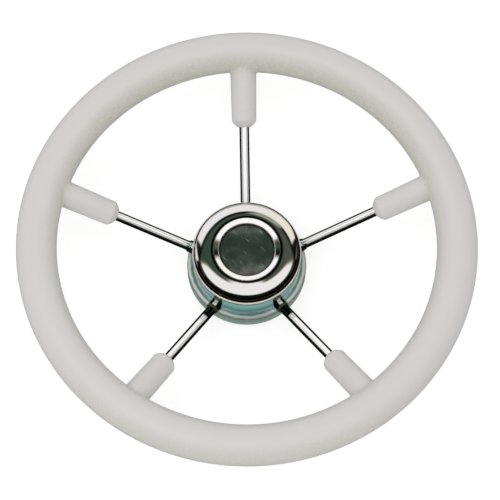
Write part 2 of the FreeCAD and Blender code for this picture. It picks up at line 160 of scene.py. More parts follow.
def spokeFrame():
    # The rod runs towards the hub and down by the slope; side and up complete it.
    start = np.array([0, rimRadius, rimHeight])
    down = np.array([0, -math.cos(slope), -math.sin(slope)])
    side = np.array([1.0, 0, 0])
    return start, down, side, np.cross(down, side)


def onSpoke(along, angle, radius):
    # start + along down + radius (cos a side + sin a up).
    start, down, side, up = spokeFrame()
    out = np.cos(angle)[..., None] * side + np.sin(angle)[..., None] * up
    return start + along[..., None] * down + radius[..., None] * out


def firstMeeting(angle, radius, inside, low, high):
    # For each angle, where the line along the spoke leaves what inside tells of, by halving.
    low, high = np.full(angle.shape, low), np.full(angle.shape, high)
    for _ in range(40):
        middle = (low + high) / 2
        within = inside(onSpoke(middle, angle, radius + 0 * angle))
        low, high = np.where(within, middle, low), np.where(within, high, middle)
    return (low + high) / 2


def openWindow(half, hole):
    # Columns and rows of a square block are counted from its middle. The window is the square inside hole.
    # Share is how far a vertex lies from its edge towards the block's border, and angle is its direction,
    # even on each square.
    a, b = np.meshgrid(np.arange(-half, half + 1), np.arange(-half, half + 1), indexing="ij")
    ring = np.maximum(np.abs(a), np.abs(b))
    sideways = np.abs(a) >= np.abs(b)
    with np.errstate(divide="ignore", invalid="ignore"):
        angle = np.where(sideways, math.pi / 4 * b / a, math.pi / 2 - math.pi / 4 * a / b)
    angle = np.where(ring == 0, 0, angle + math.pi * np.where(sideways, a < 0, b < 0))
    share = np.clip((ring - hole) / (half - hole), 0, 1)
    border = np.stack([a, b], axis=-1) / np.maximum(ring, 1)[..., None]
    return angle, share, border


def windowEdge(hole):
    # The window's edge as offsets from its middle, once round the way the angle goes.
    step = np.arange(-hole, hole)
    full = np.full(2 * hole, hole)
    return np.concatenate([full, -step, -full, step]), np.concatenate([step, full, -step, -full])


# Materials. Patterns read the piece's own Object coordinates. A finish's change of one thing with another
# is given as two places and what holds at each.

def connect(value, node, slot):
    # Sets a number or a colour on a node's slot, or links another node's output to it.
    socket = node.inputs[slot]
    if isinstance(value, (int, float)):
        socket.default_value = value
    elif isinstance(value, tuple):
        socket.default_value = (*value, 1)
    else:
        socket.id_data.links.new(value, socket)


def newNode(near, kind):
    return near.id_data.nodes.new("ShaderNode" + kind)


def startMaterial(name, colour, metallic, roughness):
    material = bpy.data.materials.new(name)
    material.use_nodes = True
    shader = material.node_tree.nodes["Principled BSDF"]
    connect(colour, shader, "Base Color")
    connect(metallic, shader, "Metallic")
    connect(roughness, shader, "Roughness")
    return material, shader, newNode(shader, "TexCoord").outputs["Object"]


def addNoise(place, scale, detail=3.0, stretch=None, turn=0):
    # Soft random pattern; scale counts its waves in a metre. It may be drawn out along y and turned.
    if stretch:
        mapping = newNode(place, "Mapping")
        mapping.vector_type = "TEXTURE"
        mapping.inputs["Rotation"].default_value = (0, 0, math.radians(turn))
        mapping.inputs["Scale"].default_value = (1, stretch, 1)
        connect(place, mapping, "Vector")
        place = mapping.outputs["Vector"]
    noise = newNode(place, "TexNoise")
    connect(scale, noise, "Scale")
    connect(detail, noise, "Detail")
    connect(place, noise, "Vector")
    return noise.outputs["Fac"]


def addRange(value, *change):
    # Straight change from one range of values to another, held at its ends.
    node = newNode(value, "MapRange")
    for number, slot in zip((value, *change), ("Value", "From Min", "From Max", "To Min", "To Max")):
        connect(number, node, slot)
    return node.outputs["Result"]


def addMath(operation, *values):
    # A math node for each value after the first, taken in turn.
    near = next(value for value in values if not isinstance(value, (int, float)))
    result = values[0]
    for other in values[1:] or (0,):
        node = newNode(near, "Math")
        node.operation = operation
        connect(result, node, 0)
        connect(other, node, 1)
        result = node.outputs["Value"]
    return result


def product(*values):
    return addMath("MULTIPLY", *values)


def difference(*values):
    return addMath("SUBTRACT", *values)


def addChange(finish, **values):
    # The finish's named changes, each with what it reads, as one product.
    changes = [addRange(value, *finish[name]) for name, value in values.items()]
    return product(*changes) if len(changes) > 1 else changes[0]


def addColours(value, stops):
    # A colour ramp; each stop is a place from 0 to 1 and a colour.
    ramp = newNode(value, "ValToRGB")
    elements = ramp.color_ramp.elements
    while len(elements) < len(stops):
        elements.new(0.5)
    for element, (position, colour) in zip(elements, stops):
        element.position = position
        element.color = (*colour, 1)
    connect(value, ramp, "Fac")
    return ramp.outputs["Color"]


def addBands(value, bands):
    # A colour for each given value, with even changes between.
    low, high = bands[0][0], bands[-1][0]
    stops = [((at - low) / (high - low), colour) for at, colour in bands]
    return addColours(addRange(value, low, high, 0, 1), stops)


def addMix(factor, first, second):
    mix = newNode(factor, "Mix")
    mix.data_type = "RGBA"
    connect(factor, mix, "Factor")
    connect(first, mix, 6)
    connect(second, mix, 7)
    return mix.outputs[2]


def addBump(shader, height, strength, distance):
    bump = newNode(shader, "Bump")
    connect(strength, bump, "Strength")
    connect(distance, bump, "Distance")
    connect(height, bump, "Height")
    before = shader.inputs["Normal"].links
    if before:
        connect(before[0].from_socket, bump, "Normal")
    connect(bump.outputs["Normal"], shader, "Normal")


def splitPlace(place):
    parts = newNode(place, "SeparateXYZ")
    connect(place, parts, "Vector")
    return parts.outputs


def measurePlace(place):
    # Distance from the axis, the root of x squared plus y squared, and then x, y and the height.
    x, y, height = splitPlace(place)
    return addMath("SQRT", addMath("ADD", product(x, x), product(y, y))), x, y, height


def addRingMarks(shader, marks, away, height=0):
    # Fine marks round the wheel's axis, from noise that reads only the distance from it and the height.
    # Marks are their number in a metre, strength and depth.
    perMetre, strength, depth = marks
    lines = newNode(away, "CombineXYZ")
    connect(away, lines, "X")
    connect(height, lines, "Y")
    addBump(shader, addNoise(lines.outputs["Vector"], perMetre, 2), strength, depth)


def varyRoughness(shader, pattern, roughness, less=0.06, more=0.08, spread=(0.3, 0.7)):
    # The roughness follows a pattern, from less under the usual one to more over it.
    connect(addRange(pattern, *spread, roughness - less, roughness + more), shader, "Roughness")


gripFinish = {
    "colour": (0.625, 0.602, 0.590),
    "stain": (0.50, 0.48, 0.38),
    "roughness": 0.47,
    "unevenness": 0.07,
    "specular": 0.4,
    "grainPerMetre": 1500,
    "grain": (0.35, 0.00006),  # strength and depth
    "cloudPerMetre": 42,
    "cloud": (0.25, 0.0006),
    "inside": (-0.004, -0.014, 0, 1),  # painted shade with yellowing, counted outwards from the ring inside
    "offSleeves": (-0.021, -0.016, 0.15, 1),
    "outside": (0.006, 0.013, 0, 0.5),
    "towardsTop": (-0.02, 0.11, 0.35, 1),  # by y
    "towardsFoot": (-0.06, -0.14, 0, 1),
    "blotchesPerMetre": 520,
    "blotches": (0.32, 0.68, 0.2, 0.8),
}


def makeGripMaterial():
    # Soft white polyurethane: fine leathery grain and an uneven sheen from handling. Inside the rim it is
    # darker and yellower, most at the top of the wheel: painted shade with some yellowing. On the outside at
    # its foot it is darker and yellower too, but less so.
    finish = gripFinish
    material, shader, place = startMaterial("whiteGrip", finish["colour"], 0, finish["roughness"])
    connect(finish["specular"], shader, "Specular IOR Level")
    cloud = addNoise(place, finish["cloudPerMetre"], 4)
    addBump(shader, addNoise(place, finish["grainPerMetre"], 2), *finish["grain"])
    addBump(shader, cloud, *finish["cloud"])
    varyRoughness(shader, cloud, finish["roughness"], finish["unevenness"], finish["unevenness"])
    away, _, y, _ = measurePlace(place)
    fromRing = difference(away, rimRadius)
    # Painted shade with yellowing inside the rim; darker and yellower on the outside at the foot.
    inside = addChange(finish, inside=fromRing, offSleeves=fromRing, towardsTop=y)
    outside = addChange(finish, outside=fromRing, towardsFoot=y)
    blotches = addChange(finish, blotches=addNoise(place, finish["blotchesPerMetre"], 4))
    stained = product(addMath("MAXIMUM", inside, outside), blotches)
    connect(addMix(stained, finish["colour"], finish["stain"]), shader, "Base Color")
    return material


polishedFinish = {
    "colour": (0.83, 0.82, 0.80),
    "roughness": 0.045,
    "edgeTint": (0.30, 0.32, 0.32),
    "smudges": 0.06,
    "smudgesFrom": (0.45, 0.75),
    "smudgesPerMetre": 85,
    "marks": (2600, 0.5, 0.0000012),  # in a metre, strength and depth
}


def makePolishedMaterial(name, tinted=False):
    # Buffed stainless: fine marks round the wheel's axis and smudges. A tinted one is darker at a slant.
    finish = polishedFinish
    roughness = finish["roughness"]
    material, shader, place = startMaterial(name, finish["colour"], 1, roughness)
    if tinted:
        connect(finish["edgeTint"], shader, "Specular Tint")
    measures = measurePlace(place)
    addRingMarks(shader, finish["marks"], measures[0], measures[3])
    smudges = addNoise(place, finish["smudgesPerMetre"], 5)
    dullness = addRange(smudges, *finish["smudgesFrom"], roughness, roughness + finish["smudges"])
    connect(dullness, shader, "Roughness")
    return material, shader, place, measures, dullness


capFinish = {
    "bead": (0.97, 0.965, 0.95),
    "crease": (0.02, 0.028, 0.022),  # painted shade beside the disc's seat and round the bead's foot
    "creaseWidth": 0.0018,
    "edge": (0.075, 0.055, 0.035),  # painted shade above the lip
    "edgeWidth": 0.0016,
    "soft": 0.0004,
    "lip": (0.88, 0.86, 0.80),
    "unbuffed": (0.001, 0.0007, 0, 1),  # beside the disc, counted outwards from its seat
    "dullness": 0.36,  # there and on the lip
    "wideEdge": (-0.0026, -0.0022, 0, 1),  # painted shade, wide but for the back, counted outwards from the cap's edge
    "aboveLip": (0, 0.0001, 1, 0),
    "butForBack": (0.012, 0.020, 1, 0),  # by y
    "onLip": (0, 0.0002, 0, 1),
    "cleanLeft": (-0.004, -0.014, 0, 0.85),  # part of the dome kept free of the edge's painted shade, by x, by y and from the seat
    "cleanBack": (-0.012, -0.009, 0, 1),
    "cleanDome": (0.0072, 0.0082, 0, 1),
}


def makeCapMaterial():
    # The cap's polished steel: a painted highlight on the bead, and a dull lip that is pale and less
    # metallic, which is also a painted highlight. Painted shade lies in the creases and along the edge, but
    # not on the dome's left side.
    finish, steel = capFinish, polishedFinish["colour"]
    bead, crease, edge, lip = finish["bead"], finish["crease"], finish["edge"], finish["lip"]
    material, shader, _, (away, x, y, _), dullness = makePolishedMaterial("polishedCap", tinted=True)
    fromSeat, fromEdge = difference(away, seatRadius), difference(away, capEdge)
    crest, soft = seatRadius + cap["beadSlope"], finish["soft"]
    creaseEnd, edgeStart = beadOuter + finish["creaseWidth"], capEdge - finish["edgeWidth"]
    # Bands: a painted highlight on the bead, painted shade in the creases and above the lip.
    tones = addBands(away, [
        (seatRadius - 0.0006, crease), (seatRadius - 0.0001, bead), (crest, bead), (crest + 0.0003, crease),
        (creaseEnd - soft, crease), (creaseEnd + soft, steel), (edgeStart, steel), (edgeStart + soft, edge),
        (capEdge + 0.00005, edge), (capEdge + 0.0002, lip), (capHigh.x, lip),
    ])
    tarnish = addChange(finish, wideEdge=fromEdge, butForBack=y, aboveLip=fromEdge)
    clean = addChange(finish, cleanLeft=x, cleanBack=y, cleanDome=fromSeat)
    tones = addMix(clean, addMix(tarnish, tones, edge), steel)
    connect(tones, shader, "Base Color")
    onLip = addChange(finish, onLip=fromEdge)
    unbuffed = addChange(finish, unbuffed=fromSeat)
    dull = product(addMath("MAXIMUM", onLip, unbuffed), finish["dullness"])
    connect(addMath("MAXIMUM", dullness, dull), shader, "Roughness")
    # The lip is less metallic, so its pale tone shows as a painted highlight.
    connect(addRange(onLip, 0, 1, 1, 0.4), shader, "Metallic")
    return material


wallFinish = {
    "bands": [  # by height: a pale painted highlight at the foot, a painted sea-green reflection, and plain steel
        (0.0165, (0.84, 0.94, 0.92)), (0.0215, (0.40, 0.64, 0.63)), (0.0275, (0.40, 0.64, 0.63)),
        (0.0300, polishedFinish["colour"]),
    ],
}


def makeWallMaterial():
    # The drum's polished steel, with a painted sea-green reflection below the cap's lip and a pale painted
    # highlight at its foot.
    material, shader, _, (_, _, _, height), _ = makePolishedMaterial("polishedWall")
    # The height bands paint a sea-green reflection and a pale highlight onto the steel.
    connect(addBands(height, wallFinish["bands"]), shader, "Base Color")
    return material


dishFinish = {
    "roughness": 0.5,
    "foot": (0.40, 0.66, 0.64),  # painted sea-green reflection beside the drum's wall
    "shoulder": (0.92, 0.94, 0.91),
    "skirt": (0.70, 0.66, 0.61),
    "front": (0.64, 0.70, 0.69),  # painted shade: how much of these is left on the skirt's front
    "frontBy": (-0.036, -0.043, 0, 1),  # by y
    "offTop": (-0.0008, -0.0001, 1, 0),  # counted outwards from the dish's edge
    "blotchesPerMetre": 190,
    "blotches": (0.35, 0.65, -0.00035, 0.00035),
    "rubbedFrom": (0.001, 0.002, 0, 1),  # the shoulder's painted highlight, made less metallic; counted outwards from the wall and from the edge
    "rubbedTo": (-0.0008, -0.0001, 1, 0.2),
    "nearBoat": (0.0015, 0.006, 0.6, 0),  # by height
    "marks": (2600, 0.5, 0.000004),
    "cloudPerMetre": 85,
}


def makeDishMaterial():
    # Dull brushed steel: a painted highlight on the shoulder, a painted sea-green reflection at the wall's
    # foot, darker on the skirt, and painted shade on the front.
    finish = dishFinish
    skirt, foot, shoulder = finish["skirt"], finish["foot"], finish["shoulder"]
    material, shader, place = startMaterial("satinSteel", shoulder, 1, finish["roughness"])
    away, _, y, height = measurePlace(place)
    fromWall, fromEdge = difference(away, drumRadius), difference(away, dishRadius)
    blotches = addChange(finish, blotches=addNoise(place, finish["blotchesPerMetre"], 4))
    edge = dishRadius - drumRadius
    # A painted sea-green reflection at the foot and a painted highlight on the shoulder.
    tones = addBands(addMath("ADD", fromWall, blotches), [
        (-0.0030, skirt), (-0.0015, foot), (0.0008, foot),
        (0.0016, shoulder), (edge - 0.0009, shoulder), (edge - 0.0002, skirt),
    ])
    lessened = newNode(shader, "VectorMath")
    lessened.operation = "MULTIPLY"
    lessened.inputs[1].default_value = finish["front"]
    connect(tones, lessened, 0)
    # Painted shade on the front.
    front = addChange(finish, frontBy=y, offTop=fromEdge)
    connect(addMix(front, tones, lessened.outputs["Vector"]), shader, "Base Color")
    # The shoulder is less metallic, so its pale tone shows as a painted highlight.
    rubbed = addChange(finish, rubbedFrom=fromWall, rubbedTo=fromEdge)
    dull = addMath("MAXIMUM", rubbed, addChange(finish, nearBoat=height))
    connect(addRange(dull, 0, 1, 1, 0.68), shader, "Metallic")
    addRingMarks(shader, finish["marks"], away, height)
    cloud = addNoise(place, finish["cloudPerMetre"], 5)
    varyRoughness(shader, cloud, finish["roughness"], spread=(0.35, 0.7))
    return material


brazeFinish = {
    "brass": (0.27, 0.29, 0.155),
    "darkBrass": (0.19, 0.20, 0.11),
    "rod": (0.97, 0.965, 0.955),
    "rubbed": (0.99, 0.99, 0.98),  # a ferrule's top, a painted highlight
    "polish": (0.015, 0.02, 0.017),  # painted dark reflection beside it
    "cloudPerMetre": 380,
    "wander": (0.3, 0.7, -0.00025, 0.00025),  # of the ends below, which are counted along a rod from the wall
    "onFerrule": (0.0039, 0.0043, 1, 0),
    "pastFerrule": (0.0039, 0.0043, 0, 1),
    "brazed": (0.0064, 0.0069, 1, 0),
    "pastBraze": (0.0066, 0.0086, 0, 0.6),
    "heated": (0.0154, 0.0166, 1, 0),  # painted dark reflection on the rod beyond the braze
    "ridge": (0.0013, 0.0018, 1, 0),  # painted highlight strips, counted across a rod from its middle
    "rodLower": (-0.0026, -0.0022, 0.04, 1),
    "rodUpper": (0.0013, 0.0017, 1, 0.04),
    "lowerSpokes": (-0.022, -0.012, 1, 0),  # by y
    "brazeDullness": 0.34,
    "ferruleDullness": 0.3,
}


def makeBrazedMaterial(name):
    # Polished rods and ferrules, with a painted highlight along their tops and a painted dark reflection
    # along the sides. The two lower spokes have a band of dark braze beyond the ferrule and a painted dark
    # reflection on a length past it. A point's place along a rod is away cos(slope) + height sin(slope), as
    # every rod leans out by the same slope.
    finish, count = brazeFinish, wheel["spokes"]
    material, shader, place, (away, x, y, height), dullness = makePolishedMaterial(name, tinted=True)
    cosine, sine = math.cos(slope), math.sin(slope)
    foot = drumRadius * cosine + wheel["rodFootHeight"] * sine
    cloud = addNoise(place, finish["cloudPerMetre"], 4)
    wander = addChange(finish, wander=cloud)
    along = addMath("ADD", product(away, cosine), product(height, sine), wander, -foot)
    onLower = addChange(finish, lowerSpokes=y)
    onFerrule = addChange(finish, onFerrule=along)
    onBand = product(addChange(finish, pastFerrule=along, brazed=along), onLower)

    # How far a point lies beside a spoke's line is near enough away sin(n (angle - 90)) / n, with n spokes.
    # The sign of x makes it positive on each rod's side towards the top of the wheel.
    turn = difference(addMath("ARCTAN2", y, x), math.pi / 2)
    beside = product(addMath("SINE", product(turn, count)), away, 1 / count)
    upper = product(beside, addMath("SIGN", x))
    # A painted highlight along each rod's upper side and on the ferrules' tops.
    rodTop = addChange(finish, rodLower=upper, rodUpper=upper)
    ridge = addChange(finish, ridge=addMath("ABSOLUTE", beside))
    ridge = addMath("MAXIMUM", ridge, product(rodTop, difference(1, onLower)))
    # Past the braze the lower spokes lose the highlight: a painted dark reflection.
    heated = product(addChange(finish, heated=along), onLower)
    rodTop = product(rodTop, addRange(heated, 0, 1, 1, 0.04))

    ferrule = addMix(ridge, finish["polish"], finish["rubbed"])
    rod = addMix(rodTop, finish["polish"], finish["rod"])
    braze = addColours(cloud, [(0.3, finish["darkBrass"]), (0.7, finish["brass"])])
    colour = addMix(onBand, addMix(onFerrule, rod, ferrule), braze)
    connect(colour, shader, "Base Color")
    pastBraze = addChange(finish, pastBraze=along)
    # Where the painted highlight lies the steel is less metallic, so it shows pale.
    rubbed = addMath("MAXIMUM", product(onFerrule, ridge), product(pastBraze, rodTop))
    connect(addRange(rubbed, 0, 1, 1, 0.05), shader, "Metallic")
    dull = addMath("MAXIMUM", dullness, product(onBand, finish["brazeDullness"]))
    dull = addMath("MAXIMUM", dull, product(onFerrule, finish["ferruleDullness"]))
    connect(dull, shader, "Roughness")
    return material


discFinish = {
    "dark": (0.028, 0.050, 0.036),
    "middle": (0.056, 0.078, 0.062),
    "worn": (0.17, 0.165, 0.15),
    "scratch": (0.30, 0.32, 0.30),
    "edge": (0.004, 0.005, 0.004),
    "metallic": 0.45,
    "roughness": 0.36,
    "marks": (3200, 0.5, 0.000004),
    "wornFront": (-0.004, -0.017, 0, 0.78),  # by y
    "wornBack": (0.011, 0.017, 0, 0.6),
    "cloudPerMetre": 110,
    "cloud": (0.36, 0.66, -0.18, 0.36),
    "hairs": (700, 2, 9, 42),  # in a metre, detail, length and turn of the noise for scratches
    "scratches": (0.58, 0.68, 0, 1),
    "patchNoise": (95, 2),
    "patches": (0.46, 0.58, 0, 0.8),
    "onEdge": (-0.0011, -0.0006, 0, 1),  # painted shade, counted outwards from the disc's edge
}


def makeDiscMaterial():
    # Dark green anodised metal, spun and scratched, paler towards the front and the back, with a black ring
    # of painted shade at its edge.
    finish = discFinish
    material, shader, place = startMaterial(
        "darkDisc", finish["middle"], finish["metallic"], finish["roughness"]
    )
    away, _, y, _ = measurePlace(place)
    addRingMarks(shader, finish["marks"], away)
    cloud = addNoise(place, finish["cloudPerMetre"], 6)
    wear = addMath("MAXIMUM", addChange(finish, wornFront=y), addChange(finish, wornBack=y))
    wear = addMath("ADD", wear, addChange(finish, cloud=cloud))
    colours = addColours(wear, [(0, finish["dark"]), (0.45, finish["middle"]), (1, finish["worn"])])
    scratches = addChange(
        finish, scratches=addNoise(place, *finish["hairs"]), patches=addNoise(place, *finish["patchNoise"])
    )
    colours = addMix(scratches, colours, finish["scratch"])
    # A black ring of painted shade round the disc's edge.
    edge = addChange(finish, onEdge=difference(away, discHigh.x))
    connect(addMix(edge, colours, finish["edge"]), shader, "Base Color")
    varyRoughness(shader, cloud, finish["roughness"], 0.08, 0.06)
    return material


plainFinish = {
    "turnedSteel": ((0.56, 0.55, 0.53), 0.3),  # colour and roughness
    "screwSteel": ((0.62, 0.61, 0.60), 0.24),
    "blackPlastic": ((0.022, 0.022, 0.024), 0.42, 1400),  # and the grain in a metre
    "blackRubber": ((0.014, 0.014, 0.014), 0.6, 2600),
    "marks": (1800, 0.6, 0.000012),
    "steelCloud": (140, 4),
    "grain": (0.4, 0.00002),
    "blackCloud": (160, 3),
}


def makeTurnedMaterial(name):
    # Machined steel: rings left by the tool and a little unevenness.
    colour, roughness = plainFinish[name]
    material, shader, place = startMaterial(name, colour, 1, roughness)
    away, _, _, height = measurePlace(place)
    addRingMarks(shader, plainFinish["marks"], away, height)
    varyRoughness(shader, addNoise(place, *plainFinish["steelCloud"]), roughness)
    return material


def makeBlackMaterial(name):
    # Moulded black plastic or rubber: fine grain and an uneven sheen.
    colour, roughness, grainPerMetre = plainFinish[name]
    material, shader, place = startMaterial(name, colour, 0, roughness)
    addBump(shader, addNoise(place, grainPerMetre, 3), *plainFinish["grain"])
    varyRoughness(shader, addNoise(place, *plainFinish["blackCloud"]), roughness, 0.05)
    return material


# The cap's levels come from its packed box: the bead's crest is its top, and the lip its foot.
cap = {
    "turns": 256,
    "wall": 0.0012,
    "lipRadius": 0.0009,
    "edgeRadius": 0.004,
    "beadSlope": 0.0042,  # from the disc's seat out to the crest
    "beadFall": 0.0015,  # crest above the bead's inner edge
    "beadFlank": 0.0005,  # bead outside its crest
    "beadRise": 0.0007,  # crest above the dome
    "crest": 0.0006,  # soft bends: over the crest, into the seat, and down to the dome
    "inner": 0.001,
    "foot": 0.0003,
    "crease": 0.0003,  # soft bend above the lip
    "edge": 0.0002,  # broken edges
    "step": 0.0004,
    "pole": 0.0004,  # where the rows stop beside the axis
}
capEdge = capHigh.x - cap["lipRadius"]
capFloor = capLow.z
lipTop = capFloor + 2 * cap["lipRadius"]
beadFoot = capHigh.z - cap["beadRise"]
seatRadius = discHigh.x + wheel["sheetGap"]
seatHeight = discLow.z
beadOuter = seatRadius + cap["beadSlope"] + cap["beadFlank"]


def capOutline():
    # Half the pressed sheet's section, from the underside's middle out to the lip and back over the dome to
    # the seat. The dome is a wide arc that starts level at the bead and runs into a tighter one that ends
    # upright at the lip. The bead's inner side is straight: its bends touch the line through the crest and
    # the inner edge, so a bend of radius r has its middle r below that line.
    wall, edge, foot, crease = cap["wall"], cap["edge"], cap["foot"], cap["crease"]
    lean = math.atan2(cap["beadFall"], cap["beadSlope"])

    def underSlope(away, depth):
        return capHigh.z + ((away - beadOuter + cap["beadFlank"]) * math.sin(lean) - depth) / math.cos(lean)

    crest, inner = cap["crest"], cap["inner"]
    crestMiddle = (beadOuter - crest, underSlope(beadOuter - crest, crest))
    innerMiddle = (seatRadius + inner, underSlope(seatRadius + inner, inner))
    upright = 90 + math.degrees(lean)
    footUp = beadFoot + foot - crestMiddle[1]
    footOut = math.sqrt((crest + foot) ** 2 - footUp**2)
    footAngle = math.degrees(math.atan2(footUp, footOut))
    span, tight, rise = capEdge - beadOuter, cap["edgeRadius"], beadFoot - lipTop
    wide = ((span - tight) ** 2 + rise**2 - tight**2) / (2 * (rise - tight))
    turn = math.degrees(math.asin((span - tight) / (wide - tight)))
    domeMiddle = (beadOuter, beadFoot - wide)
    edgeMiddle = (capEdge - tight, lipTop)
    seatWall, inside = seatRadius + wall, seatHeight - wall
    creaseUp = math.sqrt(cap["lipRadius"] ** 2 + 2 * cap["lipRadius"] * crease)
    creaseAngle = math.degrees(math.atan2(creaseUp, crease))
    domeStart = 90 - math.degrees(math.asin((footOut - crest) / wide))
    lipMiddle = (capEdge, capFloor + cap["lipRadius"])
    return joinOutline([
        arc((cap["pole"], inside), 0, -90, -90, 1),
        arc((seatWall - edge, inside + edge), edge, -90, 0),
        arc((seatWall + edge, underSlope(seatWall + edge, wall + edge)), edge, 180, upright, hollow=True),
        arc((crestMiddle[0] + edge, beadFoot - wall + edge), edge, upright, 90, 3, hollow=True),
        arc(domeMiddle, wide - wall, 90, 90 - turn, 24, hollow=True),
        arc(edgeMiddle, tight - wall, 90 - turn, 0, 12, hollow=True),
        arc((capEdge - wall + edge, capFloor + edge), edge, 180, 270),
        arc(lipMiddle, cap["lipRadius"], -90, creaseAngle, 20),
        arc((capEdge + crease, lipMiddle[1] + creaseUp), crease, 180 + creaseAngle, 180, 6, hollow=True),
        arc(edgeMiddle, tight, 5, 90 - turn, 20),
        arc(domeMiddle, wide, 90 - turn, domeStart, 60),
        arc((crestMiddle[0] + footOut, beadFoot + foot), foot, 270, 180 + footAngle, 8, hollow=True),
        arc(crestMiddle, crest, footAngle, upright, 16),
        arc(innerMiddle, inner, upright, 180, 10),
        arc((seatRadius - edge, seatHeight + edge), edge, 0, -90, hollow=True),
        arc((cap["pole"], seatHeight), 0, 90, 90, 1),
    ], cap["step"])


# The grip: a round rim and five sleeves, worked out for one spoke and repeated.
grip = {
    "rows": 64,  # round the rim's section
    "block": 16,  # half the square block of cells round a sleeve
    "hole": 8,  # half the window in it
    "plain": 32,  # columns between two blocks
    "blockAngle": 9.5,  # degrees from a spoke to its block's border
    "easing": 1.6,  # closer rows near a joint
    "taperRows": 22,
    "boreRows": 8,
    "tube": gripTop - rimHeight,
    "root": 0.01035,
    "tip": 0.0095,
    "noseStart": 0.0535,
    "reach": 0.0585,
    "mouth": 0.0044,
    "noseRadius": 0.012,
    "noseCorner": 0.0012,
    "mouthEdge": 0.0002,
    "fillet": 0.0015,
    "ringWay": coreRadius + wheel["tightGap"],
    "bore": rodRadius + wheel["tightGap"],
    "wayFillet": 0.0003,
}


def roundedUnion(points, size):
    # Distance a from the rim's surface and b from the sleeve's, which starts at the ring, joined with a
    # fillet of radius k: max(k, min(a, b)) less the length of (max(k - a, 0), max(k - b, 0)). Gives it and
    # its direction.
    tube, root, tip, fillet = size
    level = np.linalg.norm(points[..., :2], axis=-1)
    fromRing = np.stack([
        points[..., 0] * (1 - rimRadius / level),
        points[..., 1] * (1 - rimRadius / level),
        points[..., 2] - rimHeight,
    ], axis=-1)
    ringLength = np.linalg.norm(fromRing, axis=-1)
    start, down, _, _ = spokeFrame()
    along = (points - start) @ down
    fromRod = points - start - along[..., None] * down
    rodLength = np.maximum(np.linalg.norm(fromRod, axis=-1), 1e-9)
    thinning = (root - tip) / grip["noseStart"]
    a = ringLength - tube
    b = np.maximum(rodLength - root + thinning * along, -along)
    wayA = fromRing / ringLength[..., None]
    wayB = fromRod / rodLength[..., None] + thinning * down
    nearA, nearB = np.maximum(fillet - a, 0), np.maximum(fillet - b, 0)
    length = np.maximum(np.hypot(nearA, nearB), 1e-9)
    distance = np.maximum(fillet, np.minimum(a, b)) - length
    way = (nearA[..., None] * wayA + nearB[..., None] * wayB) / length[..., None]
    way = way / np.maximum(np.linalg.norm(way, axis=-1, keepdims=True), 1e-9)
    return distance, way


def onUnion(points, size):
    # Steps along the direction by the distance until the points lie on the rounded union.
    for _ in range(6):
        distance, way = roundedUnion(points, size)
        points = points - distance[..., None] * way
    return points, roundedUnion(points, size)[1]


def gripSkin(size):
    # One sector of the skin. The rim is a tube round the ring: R + r cos t away from the axis and r sin t
    # high, with a window cut for the sleeve. Round the window, turn and t run evenly from the joint to the
    # block's border.
    tube, root = size[:2]
    half, hole, plain, rows = grip["block"], grip["hole"], grip["plain"], grip["rows"]
    blockHalf = math.radians(grip["blockAngle"])
    facing = math.pi + slope
    turns = np.concatenate([
        np.linspace(-blockHalf, blockHalf, 2 * half + 1),
        np.linspace(blockHalf, pitch - blockHalf, plain + 1)[1:-1],
    ])
    tubeAngles = facing + (np.arange(rows) - half) * 2 * math.pi / rows
    turn, tubeAngle = np.meshgrid(turns, tubeAngles, indexing="ij")

    def insideRim(points):
        level = np.linalg.norm(points[..., :2], axis=-1)
        return np.hypot(level - rimRadius, points[..., 2] - rimHeight) < tube

    ringCount = 8 * hole
    even = np.arange(ringCount) * 2 * math.pi / ringCount - math.pi / 4
    meeting = firstMeeting(even + math.pi, root, insideRim, 0.0, grip["noseStart"])
    loop = onSpoke(meeting, even + math.pi, root + 0 * even)
    loopTurn = np.arctan2(-loop[:, 0], loop[:, 1])
    loopAngle = np.mod(np.arctan2(
        loop[:, 2] - rimHeight, np.linalg.norm(loop[:, :2], axis=1) - rimRadius
    ), 2 * math.pi)

    angle, share, border = openWindow(half, hole)
    share = share ** grip["easing"]
    nearTurn = np.interp(angle, even, loopTurn, period=2 * math.pi)
    nearAngle = np.interp(angle, even, loopAngle, period=2 * math.pi)
    block = slice(0, 2 * half + 1)
    turn[block, block] = nearTurn + share * (border[..., 0] * blockHalf - nearTurn)
    edgeAngle = facing + border[..., 1] * half * 2 * math.pi / rows
    tubeAngle[block, block] = nearAngle + share * (edgeAngle - nearAngle)

    level = rimRadius + tube * np.cos(tubeAngle)
    points = np.stack([
        -level * np.sin(turn), level * np.cos(turn), rimHeight + tube * np.sin(tubeAngle)
    ], axis=-1)
    points, normals = onUnion(points, size)
    return points, normals, even + math.pi, meeting


